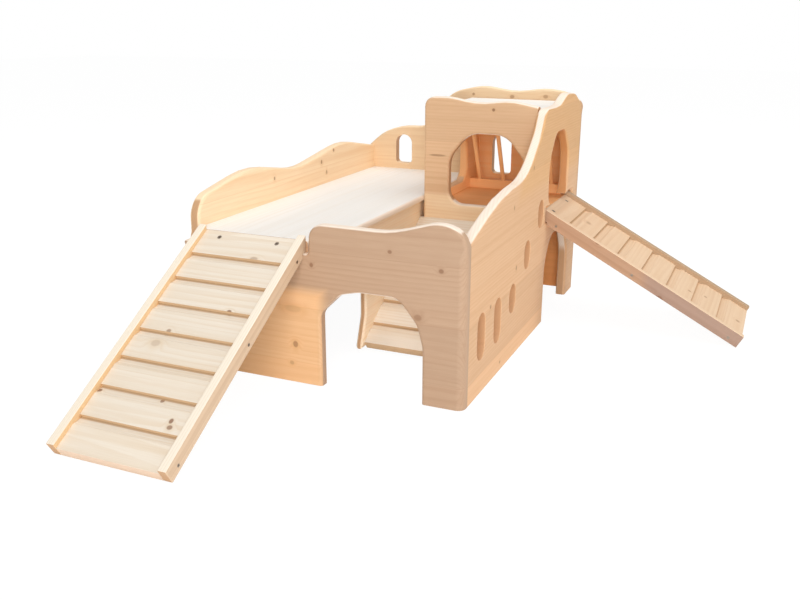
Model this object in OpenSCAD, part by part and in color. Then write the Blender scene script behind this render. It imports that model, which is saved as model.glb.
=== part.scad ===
// Guinea pig play castle: spruce boards, a raised deck, a corner tower and two outer ramps.
// Millimetres. The front faces -Y, the right wall faces +X, and the castle stands on Z = 0.

/* [Boards] */
// Thickness of the wall boards
wall_t = 18; // [14:0.5:22]
// Thickness of the deck, tower floor and roof boards
floor_t = 18; // [14:0.5:22]
// Radius on the standing corners of the front and back walls
corner_r = 12; // [2:0.5:13]
// Side of the battens that carry the deck and the tower floor
batten = 18; // [12:1:22]

/* [House] */
// Distance from the left wall's outer face to the deck's right edge
deck_w = 238; // [225:1:270]
// Distance from the deck's right edge to the right wall's outer face
tower_w = 224; // [215:1:260]
// Distance from the front face to the tower front's face
court_l = 396; // [380:1:440]
// Distance from the tower front's face to the back face
tower_l = 274; // [262:1:320]
// Height of the deck's top
deck_h = 222; // [200:1:245]
// Thickness of the deck's rebated edge over the partition
deck_edge = 10; // [8:0.5:13]
// Overhang of the deck's edge past the partition
deck_lip = 6.5; // [3:0.5:9]

/* [Low walls] */
// Crest of the front wall above the deck
front_rise = 45; // [30:1:60]
// Crest of the left wall above the deck
left_rise = 67; // [45:1:80]
// Crest of the back wall's low end above the deck
back_rise = 92; // [70:1:110]
// Thickness of the partition under the deck's edge
partition_t = 12; // [9:0.5:18]
// Gap between the partition and the ground
partition_gap = 6.5; // [3:0.5:10]
// Distance from the front face to the partition's foot
passage_l = 148.5; // [140:0.5:200]
// Height of the passage through the partition
passage_h = 176; // [150:1:180]
// Height of the partition's foot
passage_foot_h = 14; // [13:1:20]
// Height over which the partition's edge leans back from its foot
passage_lean_h = 46; // [36:1:70]
// Set-back of the partition's edge above its foot
passage_set = 17; // [8:1:30]

/* [Front arch] */
// Width of the front wall's leg right of the arch
arch_leg = 64; // [45:1:80]
// Width of the front arch
arch_w = 161; // [140:1:175]
// Height of the front arch
arch_h = 155; // [130:1:175]

/* [Side arch] */
// Distance from the tower front's inner face to the side arch
side_arch_in = 14; // [6:1:24]
// Width of the side arch under the tower
side_arch_w = 172; // [150:1:185]
// Height of the side arch
side_arch_h = 153; // [120:1:160]

/* [Tower] */
// Height of the tower room, floor to roof
room_h = 154; // [145:1:190]
// Height of the parapets above the roof
parapet_h = 22; // [12:1:34]
// Width of the tower's doorways
door_w = 139; // [120:1:150]
// Height of the tower's doorways
door_h = 127; // [110:1:136]
// Height of the doorways' sills above the tower floor
door_sill = 6; // [2:1:12]
// Distance from the tower's left side to the front doorway
front_door_in = 48; // [28:1:60]
// Distance from the tower front's inner face to the left doorway
left_door_in = 28; // [12:1:60]
// Distance from the tower front's inner face to the right doorway
right_door_in = 18; // [8:1:40]
// Gap round the lift-off roof board
roof_gap = 1; // [0.5:0.25:2]
// Gap under the roof board
roof_seat = 0.3; // [0.2:0.1:0.6]
// Side of the battens under the roof
roof_batten = 12; // [8:1:14]

/* [Windows] */
// Width of the back window beside the deck
window_w = 36; // [28:1:44]
// Height of the back window beside the deck
window_h = 60; // [50:1:64]
// Distance from the outer left face to that window
window_x = 70; // [55:1:90]
// Height of that window's sill above the deck
window_sill = 12; // [6:1:16]
// Width of the tower's back window
tower_window_w = 40; // [30:1:50]
// Height of the tower's back window
tower_window_h = 80; // [60:1:95]
// Distance from the tower's left side to its back window
tower_window_in = 47; // [36:1:70]
// Height of the tower window's sill above the tower floor
tower_window_sill = 22; // [12:1:34]

/* [Arrow slits] */
// Width of the arrow slits in the right wall
slit_w = 35; // [26:1:38]
// Height of the two low arrow slits
slit_low_h = 72; // [58:1:80]
// Height of the three short arrow slits that climb with the inner ramp
slit_short_h = 48; // [42:1:56]
// Height of the low slits' lower ends
slit_z = 53; // [40:1:62]
// Height of the short slits above the inner ramp
slit_lift = 17; // [10:1:22]
// Distance from the front face to the first slit
slit_y = 56; // [44:1:64]
// Distance from the last slit's near edge to the tower front's face
slit_end = 30; // [26:1:44]

/* [Outer ramps] */
// Length of a ramp along its underside
ramp_l = 393; // [365:1:450]
// Width of a ramp
ramp_w = 186; // [170:1:190]
// Thickness of the ramp boards
board_t = 16; // [13:0.5:18]
// Height of the ramp rails
rail_h = 23; // [19:0.5:30]
// Thickness of the ramp rails
rail_t = 13; // [10:0.5:16]
// Gap between a ramp and the sides of its notch
ramp_gap = 7; // [3:0.5:9]
// Lap of a ramp over the wall it rests on
ramp_lap = 10; // [8:0.5:12.5]
// Share of the tower wall's spare length that lies before the right ramp's notch
right_notch_share = 0.1; // [0.05:0.05:0.9]

/* [Treads] */
// Length of the uppermost tread
top_tread = 49; // [38:1:56]
// Spacing of the tread grooves along a ramp
tread_pitch = 50; // [46:1:52]
// Shortest tread left at a ramp's end
end_tread = 8; // [5:1:15]
// Depth of a tread groove
groove_d = 5; // [3:0.5:6]
// Length of a tread groove
groove_l = 15; // [10:1:20]

/* [Inner ramp] */
// Distance from the front face to the inner ramp's foot
inner_foot = 161; // [152:1:185]
// Height of the inner ramp at the tower front
inner_h = 182; // [165:1:190]
// Side of the sloping battens under the inner ramp
inner_batten = 12; // [8:1:16]
// Set-back of the inner ramp's toe along its underside
inner_toe = 6; // [3:0.5:10]
// Distance from the inner ramp's foot to its first groove
first_tread = 49; // [40:1:60]

/* [Hay rack] */
// Side of the hay rack's rails
rack_rail = 18; // [14:1:20]
// Diameter of the hay rack's bars
rack_bar_d = 8; // [6:0.5:9]
// Spacing of the hay rack's bars
rack_pitch = 49; // [42:1:52]
// Number of hay rack bars
rack_n = 4; // [2:1:4]
// Distance from the back wall to the middle of the foot rail
rack_foot = 45; // [36:1:60]
// Distance from the back wall to the middle of the head rail
rack_head = 110; // [85:1:120]

/* [Screws] */
// Head diameter of the ramp screws
screw_head_d = 7; // [5:0.5:8]
// Shank diameter of the ramp screws
screw_d = 3.5; // [2.5:0.5:4.5]
// Length of the ramp screws
screw_l = 26; // [22:1:28]
// Distance between a ramp's two sill screws
screw_gap = 100; // [70:1:130]
// Distance from a ramp's upper end to its sill screws
screw_in = 13; // [11:0.5:16]
// Head diameter of the rail screws
rail_screw_head_d = 5; // [4:0.5:7]
// Shank diameter of the rail screws
rail_screw_d = 2.5; // [2:0.5:3.5]
// Length of the rail screws
rail_screw_l = 30; // [24:1:40]
// Distance from a ramp's foot to its lowest rail screws
rail_screw_in = 20; // [16:1:40]
// Distance from a ramp's upper end to its uppermost rail screws
rail_screw_top = 27; // [20:1:44]
// Clearance round screws and rack bars
fit = 0.15; // [0.05:0.05:0.3]

/* [Hidden] */
$fn = 32;
wood = "burlywood";
pale = "wheat";
warm = "sandybrown";
steel = "dimgray";

// House in its own corner frame: X from the left wall, Y from the front face
house_w = deck_w + tower_w;
house_l = court_l + tower_l;
inner_r = house_w - wall_t;
inner_b = house_l - wall_t;
floor_h = deck_h - floor_t;
tower_in = court_l + wall_t;
part_x = deck_w - deck_lip;
part_in = part_x - partition_t;
roof_z = floor_h + room_h;
crest = roof_z + floor_t + parapet_h;

// Notches that the outer ramps rest in
notch_w = ramp_w + 2 * ramp_gap;
front_notch_r = wall_t + notch_w;
right_notch = tower_in + right_notch_share * (inner_b - tower_in - notch_w);
right_sill = floor_h - floor_t;
sill_gap = 0.5;
notch_r = 4;
notch_clear = 1.5;

// Slopes of the ramps, each found by repeating one step until it settles
function ramp_slope(h, a = 30, n = 12) =
    n == 0 ? a : ramp_slope(h, asin((h - board_t / cos(a)) / ramp_l), n - 1);
function inner_slope(a = 35, n = 12) =
    n == 0 ? a : inner_slope(atan((inner_h - board_t / cos(a)) / (court_l - inner_foot)), n - 1);
front_a = ramp_slope(deck_h);
right_a = ramp_slope(floor_h);
inner_a = inner_slope();
notch_top = floor_h + (rail_h - board_t) / cos(right_a) + notch_clear;

// The whole part is centred on its bounding box, ramps included
function ramp_reach(a) = ramp_l * cos(a) - ramp_lap + rail_h * sin(a);
mid_x = (house_w + ramp_reach(right_a)) / 2;
mid_y = (house_l - ramp_reach(front_a)) / 2;

// Closed outline with rounded corners: each corner is [along, up, radius]
function flat(p) = [p[0], p[1]];
function unit(v) = v / norm(v);
function arc_steps(turn) = max(2, ceil(turn / 8));
function bend(a, b, c, r) =
    let (u = unit(a - b), v = unit(c - b), half = acos(max(-1, min(1, u * v))) / 2,
         reach = min(r / tan(half), 0.49 * norm(a - b), 0.49 * norm(c - b)),
         rad = reach * tan(half), mid = b + unit(u + v) * rad / sin(half),
         turn = 180 - 2 * half, n = arc_steps(turn), from = b + u * reach - mid,
         way = u[0] * v[1] - u[1] * v[0] > 0 ? -1 : 1)
    [for (i = [0 : n]) let (t = way * turn * i / n)
        mid + [from[0] * cos(t) - from[1] * sin(t), from[0] * sin(t) + from[1] * cos(t)]];
function outline(k) =
    [for (i = [0 : len(k) - 1])
        let (a = flat(k[(i + len(k) - 1) % len(k)]), b = flat(k[i]), c = flat(k[(i + 1) % len(k)]),
             straight = abs(unit(a - b) * unit(c - b)) > 0.9999)
        each (k[i][2] == 0 || straight ? [b] : bend(a, b, c, k[i][2]))];

// Corners of a wavy stretch: each is [share of the way, share of the rise, radius as a share of the way]
function wave(from, to, low, rise, k) =
    [for (p = k) [from + p[0] * (to - from), low + p[1] * rise, p[2] * abs(to - from)]];

// A doorway with a flat head, two steep shoulders and round lower corners, from its lower left corner
door_r = 26;
door_head_r = 42;
door_shoulder = 36;
door_shoulder_drop = 44;
module doorway(x, z, w, h) {
    polygon(outline([
        [x, z, door_r],
        [x + w, z, door_r],
        [x + w, z + h - door_shoulder_drop, door_head_r],
        [x + w - door_shoulder, z + h, door_head_r],
        [x + door_shoulder, z + h, door_head_r],
        [x, z + h - door_shoulder_drop, door_head_r]]));
}

// A window with a round head and slightly rounded lower corners
window_r = 8;
module window(x, z, w, h) {
    polygon(outline([
        [x, z, window_r],
        [x + w, z, window_r],
        [x + w, z + h, w / 2],
        [x, z + h, w / 2]]));
}

// An arrow slit with round ends
module slit(y, z, h) {
    translate([y, z + slit_w / 2]) square([slit_w, h - slit_w]);
    for (end = [slit_w / 2, h - slit_w / 2])
        translate([y + slit_w / 2, z + end]) circle(d = slit_w);
}

// A board standing across the house, its outline given in X and Z
module across(y, t) {
    translate([0, y + t, 0]) rotate([90, 0, 0]) linear_extrude(t) children();
}

// A board standing along the house, its outline given in Y and Z
module along(x, t) {
    translate([x, 0, 0]) rotate([90, 0, 90]) linear_extrude(t) children();
}

// Moves the house's corner frame to the part's own frame
module place() {
    translate([-mid_x, -mid_y, 0]) children();
}

// Plan of a wall across the house, with its two outer corners rounded
module wall_plan(side) {
    mirror([0, side, 0]) {
        translate([0, corner_r]) square([house_w, wall_t - corner_r]);
        translate([corner_r, 0]) square([house_w - 2 * corner_r, corner_r]);
        for (x = [corner_r, house_w - corner_r])
            translate([x, corner_r]) circle(corner_r);
    }
}

// Point on an outer ramp: u up along the slope, w square to it, in the ramp's own Y and Z
function ramp_pt(a, u, w) =
    [ramp_lap - ramp_l * cos(a) + u * cos(a) - w * sin(a), u * sin(a) + w * cos(a)];

// Cove of one tread groove, from the tread below it up to the square edge of the tread above
cove_n = 5;
function cove(u) =
    [for (i = [0 : cove_n]) [u - groove_l * (1 - i / cove_n), board_t - groove_d * sin(90 * i / cove_n)],
     [u, board_t]];

// Side outline of an outer ramp piece of depth w, seated on its sill and cut plumb at its upper end
function ramp_side(a, w, h, treads) = [
    ramp_pt(a, 0, 0),
    ramp_pt(a, ramp_l - ramp_lap / cos(a), 0),
    [0, h - floor_t],
    [ramp_lap, h - floor_t],
    ramp_pt(a, ramp_l + w * tan(a), w),
    for (i = [len(treads) - 1 : -1 : 0]) treads[i],
    ramp_pt(a, 0, w)];
function ramp_treads(a) =
    let (first = ramp_l + board_t * tan(a) - top_tread,
         more = floor((first - groove_l - end_tread) / tread_pitch))
    [for (i = [more : -1 : 0]) for (p = cove(first - i * tread_pitch)) ramp_pt(a, p[0], p[1])];

// Frames of the two outer ramps: own X across, own -Y outwards
module front_ramp_frame() {
    place() translate([wall_t + ramp_gap, 0, 0]) children();
}
module right_ramp_frame() {
    place() translate([house_w, right_notch + ramp_gap, 0]) rotate([0, 0, 90]) children();
}

// A countersunk screw along Z, its head flush at Z = 0; with a gap it is the hole, open at the top
module screw(head_d, shank_d, l, gap) {
    head_h = (head_d - shank_d) / 2;
    translate([0, 0, -l - gap]) cylinder(h = l, d = shank_d + 2 * gap);
    translate([0, 0, -head_h]) cylinder(h = head_h, d1 = shank_d + 2 * gap, d2 = head_d + 2 * gap);
    if (gap > 0) cylinder(h = gap, d = head_d + 2 * gap);
}

// The two screws through a ramp's top tread into its sill
module sill_screws(a, gap) {
    p = ramp_pt(a, ramp_l + board_t * tan(a) - screw_in, board_t);
    for (side = [-1, 1])
        translate([ramp_w / 2 + side * screw_gap / 2, p[0], p[1]]) rotate([a, 0, 0])
            screw(screw_head_d, screw_d, screw_l, gap);
}

// The six screws that hold a ramp's rails to its board
rail_screw_mid = 0.535;
module rail_screws(a, gap) {
    for (u = [rail_screw_in, rail_screw_mid * ramp_l, ramp_l - rail_screw_top]) {
        p = ramp_pt(a, u, board_t / 2);
        translate([0, p[0], p[1]]) rotate([0, -90, 0])
            screw(rail_screw_head_d, rail_screw_d, rail_screw_l, gap);
        translate([ramp_w, p[0], p[1]]) rotate([0, 90, 0])
            screw(rail_screw_head_d, rail_screw_d, rail_screw_l, gap);
    }
}

// Grooved board between a ramp's rails
module ramp_board(a, h) {
    difference() {
        along(rail_t, ramp_w - 2 * rail_t) polygon(ramp_side(a, board_t, h, ramp_treads(a)));
        sill_screws(a, fit);
        rail_screws(a, fit);
    }
}

// Rail at one side of a ramp
module ramp_rail(a, h, x) {
    difference() {
        along(x, rail_t) polygon(ramp_side(a, rail_h, h, []));
        rail_screws(a, fit);
    }
}

// Walls

module front_panel() {
    left = house_w - arch_leg - arch_w;
    right = house_w - arch_leg;
    color(wood) difference() {
        place() intersection() {
            across(0, wall_t) polygon(outline([
                [0, 0, 0],
                [0, floor_h, notch_r],
                [front_notch_r, floor_h, notch_r],
                each wave(front_notch_r, house_w, deck_h, front_rise, [
                    [0.008, 0.62, 0.12], [0.54, 0.6, 0.66], [0.85, 1.09, 0.25], [1, 0.73, 0.12]]),
                [house_w, 0, 0],
                [right, 0, 0],
                each wave(right, left, 0, arch_h, [
                    [0, 0.55, 0.25], [0.05, 0.76, 0.28], [0.236, 1, 0.16],
                    [0.615, 1, 0.37], [0.8, 0.955, 0.15], [1, 0.75, 0.12]]),
                [left, 0, 0]]));
            linear_extrude(deck_h * 2) wall_plan(0);
        }
        front_ramp_frame() sill_screws(front_a, fit);
    }
}

module right_wall() {
    arch = tower_in + side_arch_in;
    arch_end = arch + side_arch_w;
    door = tower_in + right_door_in;
    slit_pitch = (court_l - slit_end - slit_y) / 4;
    slit_rise = board_t / cos(inner_a) + slit_lift - slit_w / 2;
    color(wood) difference() {
        place() along(inner_r, wall_t) difference() {
            polygon(outline([
                [wall_t, 0, 0],
                each wave(wall_t, court_l, deck_h, crest - deck_h, [
                    [0, 0.111, 0], [0.349, 0.333, 1.24], [0.725, 0.373, 0.4],
                    [0.926, 0.707, 0.22], [0.995, 0.93, 0.078]]),
                each wave(court_l, inner_b, deck_h, crest - deck_h, [
                    [0.227, 0.92, 0.39], [0.363, 0.926, 0.234], [0.559, 1.017, 0.27],
                    [0.805, 0.994, 0.35], [1, 0.864, 0.055]]),
                [inner_b, 0, 0],
                [arch_end, 0, 0],
                each wave(arch_end, arch, 0, side_arch_h, [
                    [0, 0.62, 0.35], [0.23, 1, 0.29], [0.8, 1, 0.29], [1, 0.7, 0.35]]),
                [arch, 0, 0]]));
            doorway(door, floor_h + door_sill, door_w, door_h);
            polygon(outline([
                [right_notch, right_sill, notch_r],
                [right_notch + notch_w, right_sill, notch_r],
                [right_notch + notch_w, notch_top, notch_r],
                [right_notch, notch_top, notch_r]]));
            for (i = [0, 1]) slit(slit_y + i * slit_pitch, slit_z, slit_low_h);
            for (i = [2 : 4]) {
                y = slit_y + i * slit_pitch;
                slit(y, (y + slit_w - inner_foot) * tan(inner_a) + slit_rise, slit_short_h);
            }
        }
        right_ramp_frame() sill_screws(right_a, fit);
    }
}

module left_wall() {
    color(wood) place() along(0, wall_t) polygon(outline([
        [wall_t, 0, 0],
        each wave(wall_t, inner_b, deck_h, left_rise, [
            [0, 0.64, 0.063], [0.237, 1.06, 0.41], [0.479, 0.67, 0.347], [0.775, 1.075, 0.41], [1, 0.7, 0]]),
        [inner_b, 0, 0]]));
}

module back_wall() {
    color(wood) place() intersection() {
        across(inner_b, wall_t) difference() {
            polygon(outline([
                [0, 0, 0],
                each wave(0, deck_w, deck_h, back_rise, [
                    [0, 0.446, 0.05], [0.168, 0.826, 0.42], [0.357, 0.989, 0.57], [0.6, 0.989, 0.19]]),
                each wave(0, deck_w, deck_h, crest - deck_h, [
                    [0.8, 0.932, 0.294]]),
                each wave(deck_w, house_w, deck_h, crest - deck_h, [
                    [0.107, 1.017, 0.49], [0.4, 0.955, 0.714], [0.68, 1.006, 0.625],
                    [0.866, 0.972, 0.268], [1, 0.864, 0.071]]),
                [house_w, 0, 0]]));
            window(window_x, deck_h + window_sill, window_w, window_h);
            window(deck_w + tower_window_in, floor_h + tower_window_sill, tower_window_w, tower_window_h);
        }
        translate([0, house_l, 0]) linear_extrude(crest * 2) wall_plan(1);
    }
}

// Deck and what carries it

module deck() {
    color(pale) place() {
        across(wall_t, inner_b - wall_t) polygon([
            [wall_t, floor_h],
            [part_in, floor_h],
            [part_in, deck_h - deck_edge],
            [deck_w, deck_h - deck_edge],
            [deck_w, deck_h],
            [wall_t, deck_h]]);
        translate([wall_t, ramp_lap + sill_gap, floor_h])
            cube([notch_w - notch_r - sill_gap, wall_t - ramp_lap - sill_gap, floor_t]);
    }
}

passage_r = 40;
passage_foot_r = 10;
module deck_partition() {
    edge = passage_l + passage_set;
    top = deck_h - deck_edge;
    color(wood) place() along(part_in, partition_t) polygon(outline([
        [passage_l, partition_gap, 0],
        [inner_b, partition_gap, 0],
        [inner_b, top, 0],
        [wall_t, top, 0],
        [wall_t, passage_h, 0],
        [edge, passage_h, passage_r],
        [edge, passage_foot_h + passage_lean_h, passage_r],
        [passage_l, passage_foot_h, passage_foot_r]]));
}

module deck_batten(x) {
    color(warm) place() translate([x, wall_t, floor_h - batten])
        cube([batten, inner_b - wall_t, batten]);
}

module deck_batten_left() {
    deck_batten(wall_t);
}

module deck_batten_right() {
    deck_batten(part_in - batten);
}

module deck_batten_back() {
    x = wall_t + batten;
    color(warm) place() translate([x, inner_b - batten, floor_h - batten])
        cube([part_in - batten - x, batten, batten]);
}

// Inner ramp, from the courtyard up to the tower front

function inner_pt(u, w) =
    [inner_foot + u * cos(inner_a) - w * sin(inner_a), u * sin(inner_a) + w * cos(inner_a)];
function inner_end(w) = (court_l - inner_foot + w * sin(inner_a)) / cos(inner_a);
inner_grooves = floor((inner_end(board_t - groove_d) - first_tread - end_tread) / tread_pitch);

module inner_ramp_board() {
    treads = [for (i = [inner_grooves : -1 : 0])
        let (c = cove(first_tread + i * tread_pitch))
            for (j = [len(c) - 1 : -1 : 0]) inner_pt(c[j][0], c[j][1])];
    color(pale) place() along(part_x, inner_r - part_x) polygon([
        inner_pt(inner_toe, 0),
        inner_pt(inner_end(0), 0),
        inner_pt(inner_end(board_t), board_t),
        each treads,
        inner_pt(inner_toe, board_t)]);
}

module inner_ramp_batten(x) {
    low = first_tread / 2;
    color(warm) place() along(x, inner_batten) polygon([
        inner_pt(low, 0),
        inner_pt(low, -inner_batten),
        inner_pt(inner_end(-inner_batten), -inner_batten),
        inner_pt(inner_end(0), 0)]);
}

module inner_ramp_batten_left() {
    inner_ramp_batten(part_x);
}

module inner_ramp_batten_right() {
    inner_ramp_batten(inner_r - inner_batten);
}

// Tower

module tower_front() {
    color(wood) place() across(court_l, wall_t) difference() {
        polygon(outline([
            [deck_w, 0, 0],
            [inner_r, 0, 0],
            each wave(inner_r, deck_w, deck_h, crest - deck_h, [
                [0, 0.9375, 0], [0.24, 0.994, 0.68], [0.5, 0.949, 0.777],
                [0.78, 1.006, 0.534], [1, 1, 0.087]])]));
        doorway(deck_w + front_door_in, floor_h + door_sill, door_w, door_h);
    }
}

module tower_left_wall() {
    color(wood) place() along(deck_w, wall_t) difference() {
        polygon([[tower_in, floor_h], [inner_b, floor_h], [inner_b, roof_z], [tower_in, roof_z]]);
        doorway(tower_in + left_door_in, deck_h, door_w, door_h + door_sill - floor_t);
    }
}

module tower_floor() {
    color(pale) place() {
        translate([part_x, tower_in, right_sill])
            cube([inner_r - part_x, inner_b - tower_in, floor_t]);
        translate([inner_r, right_notch + notch_r + sill_gap, right_sill])
            cube([wall_t - ramp_lap - sill_gap, notch_w - 2 * (notch_r + sill_gap), floor_t]);
    }
}

module tower_floor_batten(x) {
    color(warm) place() translate([x, tower_in, right_sill - batten])
        cube([batten, inner_b - tower_in, batten]);
}

module tower_floor_batten_left() {
    tower_floor_batten(part_x);
}

module tower_floor_batten_right() {
    tower_floor_batten(inner_r - batten);
}

module roof_batten_at(y) {
    x = deck_w + wall_t;
    color(warm) place() translate([x, y, roof_z - roof_batten])
        cube([inner_r - x, roof_batten, roof_batten]);
}

module roof_batten_front() {
    roof_batten_at(tower_in);
}

module roof_batten_back() {
    roof_batten_at(inner_b - roof_batten);
}

module tower_roof() {
    color(pale) place() translate([deck_w, tower_in + roof_gap, roof_z + roof_seat])
        cube([inner_r - deck_w - roof_gap, inner_b - tower_in - 2 * roof_gap, floor_t]);
}

// Hay rack across the back of the tower room

rack_x = deck_w + wall_t;
rack_len = inner_r - rack_x;
rack_low = [inner_b - rack_foot, floor_h + rack_rail / 2];
rack_high = [inner_b - rack_head, roof_z - rack_rail / 2];
rack_bar_l = norm(rack_high - rack_low);
rack_lean = atan((rack_low[0] - rack_high[0]) / (rack_high[1] - rack_low[1]));

module rack_bars(gap) {
    for (i = [0 : rack_n - 1])
        translate([rack_x + rack_len / 2 + (i - (rack_n - 1) / 2) * rack_pitch, rack_low[0], rack_low[1]])
            rotate([rack_lean, 0, 0]) translate([0, 0, -gap])
                cylinder(h = rack_bar_l + 2 * gap, d = rack_bar_d + 2 * gap);
}

module rack_rail_at(p) {
    color(warm) place() difference() {
        translate([rack_x, p[0] - rack_rail / 2, p[1] - rack_rail / 2])
            cube([rack_len, rack_rail, rack_rail]);
        rack_bars(fit);
    }
}

module hay_rack_foot_rail() {
    rack_rail_at(rack_low);
}

module hay_rack_head_rail() {
    rack_rail_at(rack_high);
}

module hay_rack_bars() {
    color(warm) place() rack_bars(0);
}

// Outer ramps

module front_ramp_board() {
    color(pale) front_ramp_frame() ramp_board(front_a, deck_h);
}

module front_ramp_left_rail() {
    color(pale) front_ramp_frame() ramp_rail(front_a, deck_h, 0);
}

module front_ramp_right_rail() {
    color(pale) front_ramp_frame() ramp_rail(front_a, deck_h, ramp_w - rail_t);
}

module front_ramp_sill_screws() {
    color(steel) front_ramp_frame() sill_screws(front_a, 0);
}

module front_ramp_rail_screws() {
    color(steel) front_ramp_frame() rail_screws(front_a, 0);
}

module right_ramp_board() {
    color(pale) right_ramp_frame() ramp_board(right_a, floor_h);
}

module right_ramp_near_rail() {
    color(pale) right_ramp_frame() ramp_rail(right_a, floor_h, 0);
}

module right_ramp_far_rail() {
    color(pale) right_ramp_frame() ramp_rail(right_a, floor_h, ramp_w - rail_t);
}

module right_ramp_sill_screws() {
    color(steel) right_ramp_frame() sill_screws(right_a, 0);
}

module right_ramp_rail_screws() {
    color(steel) right_ramp_frame() rail_screws(right_a, 0);
}

front_panel();
right_wall();
left_wall();
back_wall();
deck();
deck_partition();
deck_batten_left();
deck_batten_right();
deck_batten_back();
inner_ramp_board();
inner_ramp_batten_left();
inner_ramp_batten_right();
tower_front();
tower_left_wall();
tower_floor();
tower_floor_batten_left();
tower_floor_batten_right();
roof_batten_front();
roof_batten_back();
tower_roof();
hay_rack_foot_rail();
hay_rack_head_rail();
hay_rack_bars();
front_ramp_board();
front_ramp_left_rail();
front_ramp_right_rail();
front_ramp_sill_screws();
front_ramp_rail_screws();
right_ramp_board();
right_ramp_near_rail();
right_ramp_far_rail();
right_ramp_sill_screws();
right_ramp_rail_screws();
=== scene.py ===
"""Looks of a guinea pig play castle: sanded spruce boards with rounded edges, grooved ramps and screws."""

import math
from functools import partial

import bmesh
import bpy
import numpy as np
from bpy.props import FloatProperty, FloatVectorProperty, IntProperty, PointerProperty
from mathutils import Matrix, Vector
from mathutils.geometry import tessellate_polygon


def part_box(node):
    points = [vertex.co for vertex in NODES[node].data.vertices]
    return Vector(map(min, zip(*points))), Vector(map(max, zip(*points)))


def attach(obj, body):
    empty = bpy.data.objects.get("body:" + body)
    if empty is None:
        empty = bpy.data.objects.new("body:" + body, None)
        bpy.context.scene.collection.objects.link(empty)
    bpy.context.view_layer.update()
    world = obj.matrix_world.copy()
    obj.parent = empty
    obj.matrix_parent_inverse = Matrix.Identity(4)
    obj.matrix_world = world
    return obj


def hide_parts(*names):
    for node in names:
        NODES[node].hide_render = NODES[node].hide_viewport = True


bl_info = {
    "name": "Guinea pig play castle",
    "version": (1, 0, 0),
    "blender": (4, 5, 0),
    "location": "View3D > Sidebar > Castle",
    "description": "Dresses the packed castle with rounded spruce boards, screws, light and a camera",
    "category": "Object",
}

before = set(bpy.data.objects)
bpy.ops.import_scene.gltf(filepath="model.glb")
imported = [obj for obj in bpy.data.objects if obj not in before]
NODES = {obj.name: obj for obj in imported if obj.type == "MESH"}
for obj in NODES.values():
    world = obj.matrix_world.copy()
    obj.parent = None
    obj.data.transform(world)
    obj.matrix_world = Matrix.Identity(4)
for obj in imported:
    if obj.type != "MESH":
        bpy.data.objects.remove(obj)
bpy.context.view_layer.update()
ROOF_BODY = "roof"
HOUSE_BODY = "castle"
X, Y, Z = Vector((1, 0, 0)), Vector((0, 1, 0)), Vector((0, 0, 1))
PER_METRE = 1000  # millimetres in a metre

# How the CAD meshes are read, in metres and radians
SAME_POINT = 2e-6  # points closer than this are one
SAME_LEVEL = 1e-5  # points of one flat side differ less than this
SAME_PLANE = 1e-4  # a point closer than this to a side of a board's box lies in it
HEAD_SLICE = 2e-5  # depth of the points that make up a rod's head
FLAT_TURN = math.radians(0.4)  # faces that turn less than this are one
CURVE_TURN = math.radians(1)  # an outline that turns more than this is curved
HARD_TURN = math.radians(30)  # one that turns more than this has a corner
POINT_TURN = math.radians(100)  # one that turns more than this has a thin point
OUTER_TURN, INNER_TURN = math.radians(14), math.radians(32)  # faces that turn more than this have an edge
FULL_TURN = math.radians(60)  # an edge that turns more than this has its full rounding
SMALL_OPENING = 0.25  # the outlines of slits and windows are shorter than this
HOLE_REACH, HOLE_ABOVE, HOLE_BELOW = 0.0045, 0.001, 0.002  # a hole's reach from its rod's axis, head and tip
SPOT_DIGITS = 7  # decimals that tell a wall's points apart

# The most that sanding takes: shares of a bend's radius, and of the way from the tip of a thin point
BEVEL_SHARE, BEND_SHARE, POINT_SHARE = 0.8, 0.85, 0.18

# Grain of the spruce: how fast each noise changes along, across and through a board, per metre
WANDER, CLOUD = (1.6, 9.0, 9.0), (4.0, 24.0, 24.0)
STREAK, FIBRE = (2.2, 95.0, 95.0), (30.0, 1000.0, 1000.0)
WANDER_REACH = 0.014  # metres that the year rings wander
HEART_SPREAD = 0.26  # metres that the hearts of the logs are spread over, beside their staves
TONE_SPREAD = 0.07  # how much staves, and clouds in them, differ in lightness
KNOT_THROUGH = 0.2  # a knot's distance through the board counts less, so that it shows on both sides
KNOT_HALO, KNOT_PUSH, KNOT_CORE = 2.8, 0.8, 0.55  # shares of a knot's radius
BOX_FADE = 0.8  # share of a box where its colour begins to fade
RELIEF, RELIEF_HEIGHT = 0.1, 0.0004  # strength, and height in metres
ROUGHNESS, ROUGH_SPREAD, WOOD_IOR = 0.54, 0.12, 1.5

# Soft steps in the spruce: where a value begins to count and where it counts fully
LATE_RISE, LATE_FALL = (0.3, 0.88), (1.0, 0.9)  # shares of a year
CLOUDY, STREAKY, FIBROUS = (0.3, 0.75), (0.42, 0.72), (0.35, 0.75)  # noise
SEAM, HALO = (0.4945, 0.4985), (0.0, 0.005)  # share of a stave, metres
OFF_FACE, ON_EDGE, ON_BED = (0.5, 0.2), (0.5, 0.8), (0.3, 0.6)  # shares of the normal
END_FADE = 0.13

# Head and shank of the screws and the hay rack's bars in metres, repeated from the part's source
SILL_SCREW, RAIL_SCREW = (0.007, 0.0035), (0.005, 0.0025)
BAR_THICK, BAR_SIDES = 0.008, 24
ARM_LENGTH, ARM_WIDTH = 0.56, 0.13  # arms of the cross recess, as shares of the head
RECESS_SHARE = 0.8  # the recess is at most this share of the head's height

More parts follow.
